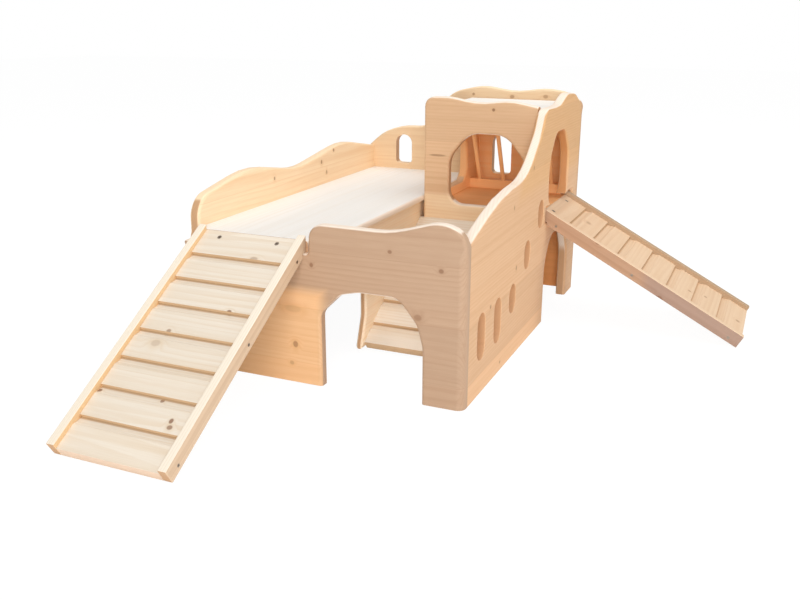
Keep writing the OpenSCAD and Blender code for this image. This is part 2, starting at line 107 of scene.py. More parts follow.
# Floor, sky and lamps: name, place, aim and size in metres, power in watts
FLOOR_REACH, FLOOR_LEVEL = 9.0, -0.0006
PAPER_GLOW, PAPER_SHARE = 1.06, 0.9
SKY_LIGHT, SKY_SEEN = 0.4, 1.0
LAMPS = (
    ("overhead_softbox", (0.1, 0.4, 2.4), (0.0, 0.1, 0.2), 2.4, 36.0),
    ("right_softbox", (3.6, 0.3, 1.2), (0.0, 0.2, 0.15), 2.2, 28.0),
    ("front_softbox", (1.2, -3.8, 0.95), (0.0, 0.2, 0.2), 1.8, 85.0),
)

# Camera fitted to the photograph: place in metres, turns in degrees, focal length and width in pixels
CAMERA_PLACE = (0.42736, -1.23375, 0.53165)
CAMERA_DOWN, CAMERA_ROLL, CAMERA_HEADING = 17.948, -0.078, 23.655
FOCAL_PIXELS, PHOTO_PIXELS, SENSOR_WIDTH = 874.179, 800, 36.0


def linear(code):
    """Turns an sRGB hex colour into linear red, green and blue."""
    parts = [int(code[i : i + 2], 16) / 255 for i in (0, 2, 4)]
    return [c / 12.92 if c <= 0.04045 else ((c + 0.055) / 1.055) ** 2.4 for c in parts]


def colour(code, text):
    """A colour that a user may change, given by its hex value."""
    return FloatVectorProperty(
        name=text, description="Colour of " + text.lower(), subtype="COLOR", size=3,
        min=0, max=1, default=linear(code),
    )


def length(value, name, text):
    """A length in metres that a user may change."""
    return FloatProperty(name=name, description=text, default=value, min=0, subtype="DISTANCE", unit="LENGTH")


class CastleSizes(bpy.types.PropertyGroup):
    """Sizes of the rounding, the grain and the screws."""

    wall_round: length(0.0052, "Wall rounding", "Radius sanded on the edges of the walls")
    corner_round: length(0.012, "Corner rounding", "Radius on the standing corners of front and back wall")
    slit_round: length(0.0014, "Slit rounding", "Radius on the edges of slits and windows")
    deck_round: length(0.0075, "Deck rounding", "Radius on the deck's free edge")
    rail_round: length(0.0018, "Rail rounding", "Radius on the edges of rails and loose boards")
    foot_round: length(0.0009, "Foot rounding", "Radius on the edges that stand on the ground")
    ease: length(0.0007, "Eased edge", "Radius on the edges of battens and grooves")
    groove: length(0.005, "Groove depth", "Depth of the ramps' grooves")
    ring_gap: length(0.0034, "Growth rings", "Thickness of one year's growth")
    stave: length(0.088, "Stave width", "Width of the staves that a wide board is glued from")
    pith: length(0.062, "Heart depth", "Distance from a board's middle to the heart of the log")
    recess: length(0.0011, "Recess depth", "Depth of the cross recess in a screw head")
    screw_sides: IntProperty(name="Screw sides", description="Facets round a screw", default=28, min=12, max=64)


# Kinds of spruce: name, colours of the early and the late wood, and what is made of it. Some kinds are painted
# light rather than wood tone, as the notes on them say.
WOODS = (
    ("front", "C2A083", "A98264", "Front wall"),
    ("right", "E4B98F", "CE9A68", "Right wall"),
    ("tower", "E2BA92", "C8986A", "Tower front"),
    ("back", "ECCDA6", "D8AA7A", "Back wall"),
    # Tone of the left wall, also used as painted light that lifts the shade on the tower front's lower part.
    ("warm", "FDE0BA", "E6B47A", "Warm boards"),
    # room and glow are painted bounce light: the orange that light takes inside the rooms; glow is the stronger
    # one, on the back wall of the lower room.
    ("room", "FFC488", "F4B06C", "Boards in the rooms"),
    ("glow", "FFB26C", "E8924A", "Back wall of the lower room"),
    ("deck", "F8F5F0", "ECE2D4", "Deck boards"),
    ("tread", "ECE0CF", "DCC4A4", "Front ramp board"),
    ("inner", "EBC799", "DAAE78", "Front ramp's left rail"),
    ("side", "DEC2A4", "C8A582", "Front ramp's right rail"),
    ("tan", "EDCEAC", "DCB48C", "Right ramp board"),
    ("near", "BE987B", "AA8162", "Right ramp's near rail"),
    ("grey", "AE8F7D", "9C7A66", "Foot of the near rail"),
    ("far", "BDA080", "A88462", "Right ramp's far rail"),
    # leg and bright are painted light: leg lifts the front ramp's shadow off the front wall's left leg, and bright
    # lifts the shade on the partition.
    ("leg", "F4C594", "DFA56C", "Front wall's left leg"),
    ("bright", "FFEACD", "EFC693", "Partition"),
    ("high", "E2B37E", "CC965E", "Right wall's upper part"),
    ("strip", "EEC195", "D9A46C", "Right wall's lowest stave"),
)


class CastleColours(bpy.types.PropertyGroup):
    """Colours of the spruce and the screws."""

    # Pale rail tops: partly the planed wood's tone, partly a painted highlight of the light from above.
    rail: colour("F5E9D6", "Tops of the front ramp's rails")
    # Painted shade in the bottoms of the right ramp's grooves.
    shade: colour("D2A87E", "Grooves of the right ramp")
    # Edges of the ramps' treads, darkened by painted shade where the risers sit in the grooves.
    shaded_riser: colour("CFAC84", "Edges of the treads")
    toe: colour("E9CDB4", "Ramps' feet")
    # Edges in the slits and the right doorway: end grain darkened by painted shade.
    slit: colour("D3A379", "Arrow slits")
    jamb: colour("CF925D", "Right doorway")
    # Pale sanded long edges: partly the sanded wood's tone, partly a painted highlight of the light from above.
    cut: colour("F7E6D4", "Sanded long edges")
    end: colour("C99E76", "End grain")
    # Painted shade in the bottoms of the front and inner ramps' grooves.
    groove: colour("BF9A72", "Grooves of the front and inner ramp")
    knot: colour("80502C", "Knots")
    steel: colour("94877A", "Screws")


CastleColours.__annotations__.update({kind: colour(early, text) for kind, early, late, text in WOODS})
CastleColours.__annotations__.update(
    {kind + "_late": colour(late, "Late wood of the " + text.lower()) for kind, early, late, text in WOODS}
)


def settings():
    """The scene's colours and sizes."""
    return bpy.context.scene.castle_colours, bpy.context.scene.castle_sizes


def add(tree, kind, inputs=None, **settings):
    """Adds one node to a tree, with its settings, and fills or links its inputs."""
    node = tree.nodes.new(kind)
    for name, value in settings.items():
        setattr(node, name, value)
    for key, value in (inputs or {}).items():
        if isinstance(value, bpy.types.NodeSocket):
            tree.links.new(value, node.inputs[key])
        else:
            node.inputs[key].default_value = value
    return node


def math_of(tree, operation, *values):
    """The result of one sum on numbers or sockets."""
    return add(tree, "ShaderNodeMath", dict(enumerate(values)), operation=operation).outputs[0]


def mix_of(tree, factor, first, second):
    """A mix of two colours."""
    return add(tree, "ShaderNodeMix", {0: factor, 6: first, 7: second}, data_type="RGBA").outputs[2]


def emptied(owner):
    """The node tree of a new material or world, with nothing in it."""
    owner.use_nodes = True
    owner.node_tree.nodes.clear()
    return owner.node_tree


def rgba(value):
    """A colour with full opacity."""
    return (*value, 1.0)


class BoardNodes:
    """The nodes of one board's material, with the directions along, across and through its grain."""

    def __init__(self, material, grain, across):
        self.tree = emptied(material)
        self.calc, self.blend = partial(math_of, self.tree), partial(mix_of, self.tree)
        self.grain, self.across = grain.normalized(), across.normalized()
        self.depth = self.grain.cross(self.across)
        self.turn = Matrix((self.grain, self.across, self.depth))
        self.normal = add(self.tree, "ShaderNodeNewGeometry").outputs["Normal"]
        self.place = add(self.tree, "ShaderNodeTexCoord").outputs["Object"]
        turned = {"Vector": self.place, "Rotation": self.turn.to_euler()}
        self.board = add(self.tree, "ShaderNodeMapping", turned).outputs[0]
        self.split = add(self.tree, "ShaderNodeSeparateXYZ", {0: self.board}).outputs

    def vector(self, operation, *values):
        """The results of one sum on vectors."""
        return add(self.tree, "ShaderNodeVectorMath", dict(enumerate(values)), operation=operation).outputs

    def noise(self, scale, detail=2.0):
        """Noise that is stretched along the grain."""
        inputs = {"Vector": self.vector("MULTIPLY", self.board, scale)[0], "Scale": 1.0, "Detail": detail}
        return add(self.tree, "ShaderNodeTexNoise", inputs).outputs[0]

    def smooth(self, value, low, high, start=0.0, end=1.0):
        """A soft step from start to end, while the value goes from low to high."""
        limits = {"Value": value, "From Min": low, "From Max": high, "To Min": start, "To Max": end}
        return add(self.tree, "ShaderNodeMapRange", limits, interpolation_type="SMOOTHSTEP").outputs[0]

    def facing(self, direction, low, high):
        """A soft step in how far the surface faces a direction or its opposite."""
        along = self.vector("DOT_PRODUCT", self.normal, direction)["Value"]
        return self.smooth(self.calc("ABSOLUTE", along), low, high)

    def inside_box(self, low, high):
        """One inside a box that is given by two corners in millimetres, fading to zero at its sides."""
        middle, half = [(Vector(high) + sign * Vector(low)) / (2 * PER_METRE) for sign in (1, -1)]
        away = self.vector("ABSOLUTE", self.vector("SUBTRACT", self.place, middle)[0])[0]
        share = add(self.tree, "ShaderNodeSeparateXYZ", {0: self.vector("DIVIDE", away, half)[0]}).outputs
        most = self.calc("MAXIMUM", self.calc("MAXIMUM", share[0], share[1]), share[2])
        return self.smooth(most, 1.0, BOX_FADE)


def spruce(name, kind, edge, grain, across, knots=(), contrast=0.4, shift=0.0, zones=(), steep=0.6, end=None,
           groove_shade=None, edge_boxes=()):
    """Sanded bare spruce: pale early wood, thin darker late-wood lines along the grain, glued staves and knots.

    Softwood is matt and slightly fibrous, so the roughness is high and the bump slight. The year rings are
    drawn round the heart of each stave's log, which lies beside most staves, so the lines run straight. Long
    edges are cut along the grain and are paler, partly their own tone and partly a painted highlight of the
    light from above, and end grain soaks up more light and is darker. It shows where the normal's share along
    the grain is above steep. A zone is a box in millimetres, low and high corner, where the wood takes another
    colour; some zones are other tones of wood and some are painted light: lifted shade and bounce light. In an
    edge box, all edges are of the colour given with it, which is painted shade in the right wall's slits and
    doorway. The groove shade is the height of a grooved board's top along its depth, the depth of its grooves
    and the colour of the painted shade in their bottoms.
    """
    tints, sizes = settings()
    material = bpy.data.materials.new(name)
    nodes = BoardNodes(material, grain, across)
    tree, calc, blend, smooth, facing = nodes.tree, nodes.calc, nodes.blend, nodes.smooth, nodes.facing

    def pair(wood):
        return rgba(getattr(tints, wood)), rgba(getattr(tints, wood + "_late"))

    face, late = pair(kind)
    edge, end = rgba(edge), rgba(tints.end if end is None else end)
    for low, high, other in zones:
        inside = nodes.inside_box(low, high)
        face, late = [blend(inside, old, new) for old, new in zip((face, late), pair(other))]
    # Boxes where all edges take one colour; in the right wall's slits and doorway that colour is painted shade.
    for low, high, tint in edge_boxes:
        inside = nodes.inside_box(low, high)
        edge, end = [blend(inside, old, rgba(tint)) for old in (edge, end)]

    # Glued staves, each from another log
    stave = calc("MULTIPLY_ADD", nodes.split[1], 1 / sizes.stave, shift)
    number = calc("FLOOR", stave)
    tone = add(tree, "ShaderNodeTexWhiteNoise", {"W": number}, noise_dimensions="1D").outputs[0]
    middle = calc("SUBTRACT", calc("FRACT", stave), 0.5)
    offset = calc("MULTIPLY_ADD", tone, HEART_SPREAD, -HEART_SPREAD / 2)
    side = calc("MULTIPLY_ADD", middle, sizes.stave, offset)
    deep = calc("ADD", nodes.split[2], sizes.pith)
    squares = calc("ADD", calc("POWER", side, 2.0), calc("POWER", deep, 2.0))
    ring = calc("MULTIPLY_ADD", nodes.noise(WANDER), WANDER_REACH, calc("SQRT", squares))

    # Knots push the year rings aside
    mark, halo = 0.0, 0.0
    for x, y, z, radius, stretch, darkness in knots:
        size = radius / PER_METRE
        away = nodes.vector("SUBTRACT", nodes.board, nodes.turn @ Vector((x, y, z)) / PER_METRE)[0]
        oval = nodes.vector("MULTIPLY", away, (1 / stretch, 1.0, KNOT_THROUGH))[0]
        gap = nodes.vector("LENGTH", oval)["Value"]
        halo = calc("ADD", halo, calc("MULTIPLY", smooth(gap, size * KNOT_HALO, 0.0), size * KNOT_PUSH))
        mark = calc("MAXIMUM", mark, smooth(gap, size, size * KNOT_CORE, 0.0, darkness))
    if knots:
        ring = calc("ADD", ring, halo)

    # Late wood darkens slowly through each year and ends sharply; fibres are about 1 mm apart
    year = calc("FRACT", calc("DIVIDE", ring, sizes.ring_gap))
    line = calc("MULTIPLY", smooth(year, *LATE_RISE), smooth(year, *LATE_FALL))
    cloud, streak, fibre = nodes.noise(CLOUD), nodes.noise(STREAK), nodes.noise(FIBRE, 1.0)
    strength = calc("MULTIPLY", line, smooth(cloud, *CLOUDY, 0.3 * contrast, contrast))
    wood = blend(strength, face, late)
    wood = blend(smooth(streak, *STREAKY, 0.0, 0.7 * contrast), wood, late)
    wood = blend(smooth(fibre, *FIBROUS, 0.0, 0.16), wood, late)
    light = calc("MULTIPLY_ADD", tone, TONE_SPREAD, 1 - TONE_SPREAD / 2)
    light = calc("ADD", light, calc("MULTIPLY_ADD", cloud, TONE_SPREAD, -TONE_SPREAD / 2))
    wood = add(tree, "ShaderNodeHueSaturation", {"Value": light, "Color": wood}).outputs[0]
    wood = blend(smooth(calc("ABSOLUTE", middle), *SEAM, 0.0, 0.45), wood, late)
    if knots:
        wood = blend(smooth(halo, *HALO, 0.0, 0.4), wood, late)
        wood = blend(mark, wood, rgba(tints.knot))

    # Long edges, partly painted highlight, end grain, and the painted shade in the grooves
    long_edge = blend(calc("MULTIPLY", line, 0.4 * contrast), edge, late)
    end_grain = blend(calc("MULTIPLY", line, 0.5 * contrast), end, late)
    sides = blend(facing(nodes.grain, steep, steep + END_FADE), long_edge, end_grain)
    aside = calc("MAXIMUM", facing(nodes.depth, *OFF_FACE), facing(nodes.across, *ON_EDGE))
    wood = blend(aside, wood, sides)
    # Painted shade on the bottoms of the grooves.
    if groove_shade:
        top, drop, tint = groove_shade
        gap = calc("SUBTRACT", top, nodes.split[2])
        inside = calc("MULTIPLY", smooth(gap, 0.9 * drop, 0.99 * drop), facing(nodes.depth, *ON_BED))
        inside = calc("MULTIPLY", inside, smooth(gap, 2.0 * drop, 1.5 * drop))
        wood = blend(inside, wood, rgba(tint))

    relief = {"Height": calc("MULTIPLY_ADD", line, 0.4, fibre), "Strength": RELIEF, "Distance": RELIEF_HEIGHT}
    bump = add(tree, "ShaderNodeBump", relief).outputs[0]
    rough = calc("MULTIPLY_ADD", fibre, ROUGH_SPREAD, ROUGHNESS)
    surface = {"Base Color": wood, "Roughness": rough, "IOR": WOOD_IOR, "Normal": bump}
    shader = add(tree, "ShaderNodeBsdfPrincipled", surface).outputs[0]
    add(tree, "ShaderNodeOutputMaterial", {"Surface": shader})
    return material


def zinc_steel(name, tint):
    """Dark zinc-plated screw steel: satin metal, a little cloudy from handling."""
    material = bpy.data.materials.new(name)
    tree = emptied(material)
    place = add(tree, "ShaderNodeTexCoord").outputs["Object"]
    cloud = add(tree, "ShaderNodeTexNoise", {"Vector": place, "Scale": 700.0, "Detail": 2.0}).outputs[0]
    worn = [min(1.0, 1.5 * c) for c in tint]
    tone = mix_of(tree, cloud, rgba(tint), rgba(worn))
    rough = math_of(tree, "MULTIPLY_ADD", cloud, 0.25, 0.3)
    surface = {"Base Color": tone, "Metallic": 1.0, "Roughness": rough}
    shader = add(tree, "ShaderNodeBsdfPrincipled", surface).outputs[0]
    add(tree, "ShaderNodeOutputMaterial", {"Surface": shader})
    return material


def merged(node):
    """A CAD node as a clean mesh: doubles merged and flat faces joined."""
    bm = bmesh.new()
    bm.from_mesh(NODES[node].data)
    bmesh.ops.remove_doubles(bm, verts=bm.verts, dist=SAME_POINT)
    bmesh.ops.dissolve_limit(bm, angle_limit=FLAT_TURN, verts=bm.verts, edges=bm.edges)
    return bm


def placed(name, data):
    """A new object in the scene, made of a mesh, a light or a camera."""
    thing = bpy.data.objects.new(name, data)
    bpy.context.scene.collection.objects.link(thing)
    return thing


def dress(piece, node, material):
    """Hands a finished piece to the body that its CAD node is on, in the node's place."""
    piece.data.materials.clear()
    piece.data.materials.append(material)
    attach(piece, ROOF_BODY if node == "tower_roof" else HOUSE_BODY)
    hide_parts(node)


def settle(piece):
    """Makes a piece's modifiers part of its mesh."""
    seen = piece.evaluated_get(bpy.context.evaluated_depsgraph_get())
    mesh = bpy.data.meshes.new_from_object(seen)
    piece.modifiers.clear()
    piece.data = mesh
    mesh.name = piece.name


def side_plane(side, low, high):
    """Axis and level of a side of a box, which is named like "x-" or "y+"."""
    axis = "xyz".index(side[0])
    return axis, (low if side[1] == "-" else high)[axis]


def near_rod(point):
    """Whether a point is in or at the rim of a screw's or a bar's hole."""
    for head, direction, size in RODS:
        down = (head - point).dot(direction)
        off = (point - head + down * direction).length
        if off < HOLE_REACH and -HOLE_ABOVE < down < size + HOLE_BELOW:
            return True
    return False


def bend_radii(bm):
    """The radius of each edge that is part of a rounded outer corner of a face."""
    radii = {}
    for face in bm.faces:
        for loop in face.loops:
            before = loop.link_loop_prev
            come = loop.vert.co - before.vert.co
            go = loop.link_loop_next.vert.co - loop.vert.co
            turn = come.angle(go, 0.0)
            if CURVE_TURN < turn < HARD_TURN and come.cross(go).dot(face.normal) > 0:
                radius = (come.length + go.length) / (2 * turn)
                for edge in (before.edge, loop.edge):
                    radii[edge] = min(radius, radii.get(edge, radius))
    return radii


def rounded_board(node, material, radius, snug="", segments=2, top_only=False):
    """A board with its outer edges sanded round, less so at tight bends and at the ground.

    snug names sides of its box such as "x-" or "y+", where the board meets another one and stays sharp. So do
    its inner corners and the rims of holes. With top_only, edges under its top are just eased.
    """
    sizes = bpy.context.scene.castle_sizes
    low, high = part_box(node)
    bm = merged(node)
    radii = bend_radii(bm)
    weight = bm.edges.layers.float.new("bevel_weight_edge")

    def within(edge, side):
        axis, level = side_plane(side, low, high)
        return all(abs(v.co[axis] - level) < SAME_PLANE for v in edge.verts)

    for edge in bm.edges:
        angle = edge.calc_face_angle(0.0)
        if angle < (OUTER_TURN if edge.is_convex else INNER_TURN):
            continue
        middle = (edge.verts[0].co + edge.verts[1].co) / 2
        if not edge.is_convex or near_rod(middle) or any(within(edge, side) for side in snug.split()):
            edge.smooth = False
            continue
        wanted = min(radius, BEVEL_SHARE * radii.get(edge, radius))
        if abs(middle.z) < SAME_PLANE:
            wanted = min(wanted, sizes.foot_round)
        if top_only and middle.z < high[2] - SAME_PLANE:
            wanted = min(wanted, sizes.ease)
        edge[weight] = wanted / radius * min(1.0, angle / FULL_TURN)
    for face in bm.faces:
        face.smooth = True
    mesh = bpy.data.meshes.new("sanded_" + node)
    bm.to_mesh(mesh)
    bm.free()
    piece = placed("sanded_" + node, mesh)
    bevel = piece.modifiers.new("Sanded edge", "BEVEL")
    bevel.limit_method = "WEIGHT"
    bevel.width = radius
    bevel.segments = segments
    bevel.use_clamp_overlap = False
    even = piece.modifiers.new("Flat faces", "WEIGHTED_NORMAL")
    even.keep_sharp = True
    settle(piece)
    dress(piece, node, material)


def outlines(node, axis, ref):
    """The loops round a wall's flat side, material on their left; ref is "+" or "-" along the axis."""
    low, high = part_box(node)
    level = (high if ref == "+" else low)[axis]
    bm = merged(node)

    def in_side(face):
        return all(abs(v.co[axis] - level) < SAME_LEVEL for v in face.verts)

    follow = {}
    for face in bm.faces:
        if in_side(face):
            for loop in face.loops:
                if not all(in_side(other) for other in loop.edge.link_faces):
                    follow[loop.vert] = loop.link_loop_next.vert
    loops = []
    while follow:
        start = next(iter(follow))
        points = []
        while start in follow:
            points.append(start.co.copy())
            start = follow.pop(start)
        loops.append(points)
    bm.free()
    return loops


def with_steps(points, radius_of, step=0.003, reach=0.03):
    """The loop with extra points near both ends of its long straight edges that are sanded."""
    result = []
    for a, b in zip(points, points[1:] + points[:1]):
        long, near = (b - a).length, []
        if long > 3 * step and max(radius_of(a, b)) > 0:
            near = [i * step for i in range(1, int(min(reach, long / 2) / step))]
        result += [a] + [a.lerp(b, d / long) for d in near + [long - d for d in reversed(near)]]
    return result


def cut_at(points, heights):
    """The loop with a point on each edge where it passes one of the heights."""
    result = []
    for a, b in zip(points, points[1:] + points[:1]):
        result.append(a)
        for height in heights:
            if min(a.z, b.z) < height - SAME_PLANE and max(a.z, b.z) > height + SAME_PLANE:
                result.append(a.lerp(b, (height - a.z) / (b.z - a.z)))
    return result


class SandedLoop:
    """One loop of a wall's outline with the radius that each of its edges is sanded to, on both sides."""

    def __init__(self, points, out, radius_of):
        self.points = points = with_steps(points, radius_of)
        n = len(points)
        along = [points[(i + 1) % n] - points[i] for i in range(n)]
        span = [v.length for v in along]
        self.normal = [v.cross(out).normalized() for v in along]
        turn = [along[i - 1].angle(along[i]) for i in range(n)]
        self.hard = [angle > HARD_TURN for angle in turn]
        wanted = [radius_of(points[i], points[(i + 1) % n]) for i in range(n)]
        self.round = []
        for side in (0, 1):
            before = [wanted[i - 1][side] for i in range(n)]
            after = [wanted[i][side] for i in range(n)]
            for i in range(n):
                convex = along[i - 1].cross(along[i]).dot(out) > 0
                if not self.hard[i]:
                    bend = 1.0
                    if turn[i] > CURVE_TURN and convex:
                        bend = BEND_SHARE * (span[i - 1] + span[i]) / (2 * turn[i])
                    before[i] = after[i] = min(before[i], after[i], bend)
                elif turn[i] > POINT_TURN and convex:
                    # A thin point of wood is hardly sanded, and more so away from its tip
                    for k, point in enumerate(points):
                        most = POINT_SHARE * (point - points[i]).length
                        before[k], after[k] = min(before[k], most), min(after[k], most)
            # The radius changes by at most half of the way along the edge
            for i in [*range(n), *range(n), *reversed(range(n)), *reversed(range(n))]:
                j = (i + 1) % n
                before[j] = min(before[j], after[i] + span[i] / 2)
                after[i] = min(after[i], before[j] + span[i] / 2)
                for k in (i, j):
                    if not self.hard[k]:
                        before[k] = after[k] = min(before[k], after[k])
            self.round.append((before, after))

    def corner_normal(self, i, edge):
        """Square to the outline at point i, as a face on the given edge has it."""
        if self.hard[i]:
            return self.normal[edge]
        return (self.normal[i - 1] + self.normal[i]).normalized()

    def sanded(self, i, side, angle):
        """Way in from the outline and depth under the side's face of point i, at an angle of the rounding."""
        before, after = self.round[side][0][i], self.round[side][1][i]
        share = 1 - math.cos(angle)
        first, second = self.normal[i - 1], self.normal[i]
        depth = max(before, after) * (1 - math.sin(angle))
        if not self.hard[i]:
            middle = (first + second).normalized()
            return middle * (before * share / middle.dot(first)), depth
        c = first.dot(second)
        a, b = before * share, after * share
        return (first * (a - c * b) + second * (b - c * a)) / (1 - c * c), depth


def sanded_wall(node, material, axis, ref, radius, snug, corner, steps=6):
    """A standing board made anew from its outline, both long edges sanded round and its foot square.

    snug names sides of its box such as "x-" where it meets other boards: there it is square, or has the corner
    radius on the side away from ref. A height in millimetres after it, as in "y-204", is where that ends. Slits
    and windows are sanded less. Normals are those of the true rounding, so that it shows no facets.
    """
    slit_round = bpy.context.scene.castle_sizes.slit_round
    low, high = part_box(node)
    out = Vector([(1.0 if ref == "+" else -1.0) * (i == axis) for i in range(3)])
    thick = high[axis] - low[axis]

    def outer_radius(a, b):
        if max(a.z, b.z) < SAME_PLANE:
            return 0.0, 0.0
        for side in snug.split():
            k, level = side_plane(side, low, high)
            below = max(a.z, b.z) < float(side[2:] or math.inf) / PER_METRE + SAME_LEVEL
            if below and all(abs(point[k] - level) < SAME_PLANE for point in (a, b)):
                return 0.0, corner
        return radius, radius

    def opening_radius(a, b):
        return slit_round, slit_round

    heights = [float(side[2:]) / PER_METRE for side in snug.split() if side[2:]]
    loops = []
    for points in outlines(node, axis, ref):
        small = sum((a - b).length for a, b in zip(points, points[1:])) < SMALL_OPENING
        loops.append(SandedLoop(cut_at(points, heights), out, opening_radius if small else outer_radius))
    spots, faces, normals = {}, [], []

    def spot(point):
        return spots.setdefault(tuple(round(c, SPOT_DIGITS) for c in point), len(spots))

    def face(corners):
        kept = [c for i, c in enumerate(corners) if c[0] != corners[i - 1][0]]
        if len(kept) > 2:
            faces.append([c[0] for c in kept])
            normals.extend(c[1] for c in kept)

    angles = [math.pi / 2 * k / steps for k in range(steps + 1)]
    rings = [(0, angle) for angle in reversed(angles)] + [(1, angle) for angle in angles]
    caps = ([], [])
    for loop in loops:
        n = len(loop.points)
        rows = []
        for side, angle in rings:
            row = []
            for i, point in enumerate(loop.points):
                inward, depth = loop.sanded(i, side, angle)
                row.append(point - inward - out * (depth if side == 0 else thick - depth))
            rows.append(row)
        caps[0].append(rows[0])
        caps[1].append(rows[-1])
        ids = [[spot(point) for point in row] for row in rows]
        for r in range(len(rings) - 1):
            for i in range(n):
                j = (i + 1) % n
                corners = []
                for ring, end in ((r, i), (r + 1, i), (r + 1, j), (r, j)):
                    side, angle = rings[ring]
                    flat = loop.corner_normal(end, i)
                    if max(loop.round[side][1][i], loop.round[side][0][j]) > 0:
                        flat = flat * math.cos(angle) + (out if side == 0 else -out) * math.sin(angle)
                    corners.append((ids[ring][end], flat))
                face(corners)
    for cap, way in zip(caps, (out, -out)):
        points = [point for row in cap for point in row]
        for triple in tessellate_polygon(cap):
            a, b, c = (points[i] for i in triple)
            order = triple if (b - a).cross(c - a).dot(way) > 0 else triple[::-1]
            face([(spot(points[i]), way) for i in order])
    mesh = bpy.data.meshes.new("sanded_" + node)
    mesh.from_pydata(list(spots), [], faces)
    mesh.normals_split_custom_set(normals)
    dress(placed("sanded_" + node, mesh), node, material)


def rods(node):
    """Head point, direction and length of each loose rod of a CAD node, found from its longest direction."""
    bm = merged(node)
    left, found = set(bm.verts), []
    while left:
        group, front = set(), [left.pop()]
        while front:
            vert = front.pop()
            group.add(vert)
            for edge in vert.link_edges:
                other = edge.other_vert(vert)
                if other in left:
                    left.discard(other)
                    front.append(other)
        points = np.array([v.co for v in group])
        middle = (points.max(0) + points.min(0)) / 2
        direction = np.linalg.svd(points - points.mean(0))[2][0]
        along = (points - middle) @ direction
        spread = np.linalg.norm(points - middle - np.outer(along, direction), axis=1)
        if spread[along < 0].max() > spread[along > 0].max() + SAME_LEVEL:
            direction, along = -direction, -along
        head = points[along > along.max() - HEAD_SLICE].mean(0)
        found.append((Vector(head), Vector(direction), float(along.max() - along.min())))
    bm.free()
    return sorted(found, key=lambda rod: tuple(rod[0]))


RODS = [rod for node in NODES if node.endswith(("_screws", "_bars")) for rod in rods(node)]


def group_of(name, numbers):
    """A Geometry Nodes group with named numbers, a count of sides and a material as inputs, and those inputs."""
    tree = bpy.data.node_groups.new(name, "GeometryNodeTree")
    inputs = [("Geometry", "Geometry"), *((text, "Float") for text in numbers)]
    for text, kind in [*inputs, ("Sides", "Int"), ("Material", "Material")]:
        tree.interface.new_socket(text, in_out="INPUT", socket_type="NodeSocket" + kind)
    tree.interface.new_socket("Geometry", in_out="OUTPUT", socket_type="NodeSocketGeometry")
    return tree, add(tree, "NodeGroupInput").outputs


def raised(tree, geometry, height):
    """A geometry moved along Z."""
    place = add(tree, "ShaderNodeCombineXYZ", {2: height}).outputs[0]
    return add(tree, "GeometryNodeTransform", {"Geometry": geometry, "Translation": place}).outputs[0]


def hanging_rod(tree, start, radius, top):
    """A cylinder along -Z from the height of its top, as long as the group's input says."""
    shape = {"Vertices": start["Sides"], "Radius": radius, "Depth": start["Length"]}
    rod = add(tree, "GeometryNodeMeshCylinder", shape).outputs[0]
    return raised(tree, rod, math_of(tree, "MULTIPLY_ADD", start["Length"], -0.5, top))


def spread_on_rods(tree, start, shape):
    """Ends a tree: one turned copy of the shape on each point, made real, with the given material."""
    axis = add(tree, "GeometryNodeInputNamedAttribute", {"Name": "axis"}, data_type="FLOAT_VECTOR").outputs[0]
    turn = add(tree, "FunctionNodeAlignRotationToVector", {"Vector": axis}, axis="Z").outputs[0]
    copies = add(
        tree, "GeometryNodeInstanceOnPoints", {"Points": start["Geometry"], "Instance": shape, "Rotation": turn}
    ).outputs[0]
    solid = add(tree, "GeometryNodeRealizeInstances", {0: copies}).outputs[0]
    done = add(tree, "GeometryNodeSetMaterial", {"Geometry": solid, "Material": start["Material"]}).outputs[0]
    add(tree, "NodeGroupOutput", {0: done})


def screw_tree():
    """Countersunk screw with a cross recess, its head's top at the point and its shank along -Z."""
    tree, start = group_of("Countersunk screw", ("Head", "Shank", "Length", "Recess"))
    head_radius, shank_radius = [math_of(tree, "MULTIPLY", start[text], 0.5) for text in ("Head", "Shank")]
    deep = math_of(tree, "SUBTRACT", head_radius, shank_radius)
    under_head = math_of(tree, "MULTIPLY", deep, -1.0)
    cone = {"Vertices": start["Sides"], "Radius Top": head_radius, "Radius Bottom": shank_radius, "Depth": deep}
    head = raised(tree, add(tree, "GeometryNodeMeshCone", cone).outputs[0], under_head)
    long, thin = [math_of(tree, "MULTIPLY", start["Head"], share) for share in (ARM_LENGTH, ARM_WIDTH)]
    tall = math_of(tree, "MULTIPLY", start["Recess"], 2.0)
    cut = add(tree, "GeometryNodeMeshBoolean", {"Mesh 1": head}, operation="DIFFERENCE", solver="EXACT")
    for wide, broad in ((long, thin), (thin, long)):
        size = add(tree, "ShaderNodeCombineXYZ", {0: wide, 1: broad, 2: tall}).outputs[0]
        arm = add(tree, "GeometryNodeMeshCube", {"Size": size}).outputs[0]
        tree.links.new(arm, cut.inputs["Mesh 2"])
    whole = add(tree, "GeometryNodeJoinGeometry")
    for part in (cut.outputs["Mesh"], hanging_rod(tree, start, shank_radius, under_head)):
        tree.links.new(part, whole.inputs[0])
    spread_on_rods(tree, start, whole.outputs[0])
    return tree


def bar_tree():
    """Round bar along -Z from the point, for the hay rack."""
    tree, start = group_of("Hay rack bar", ("Diameter", "Length"))
    bar = hanging_rod(tree, start, math_of(tree, "MULTIPLY", start["Diameter"], 0.5), 0.0)
    bar = add(tree, "GeometryNodeSetShadeSmooth", {"Geometry": bar, "Shade Smooth": False}).outputs[0]
    spread_on_rods(tree, start, bar)
    return tree


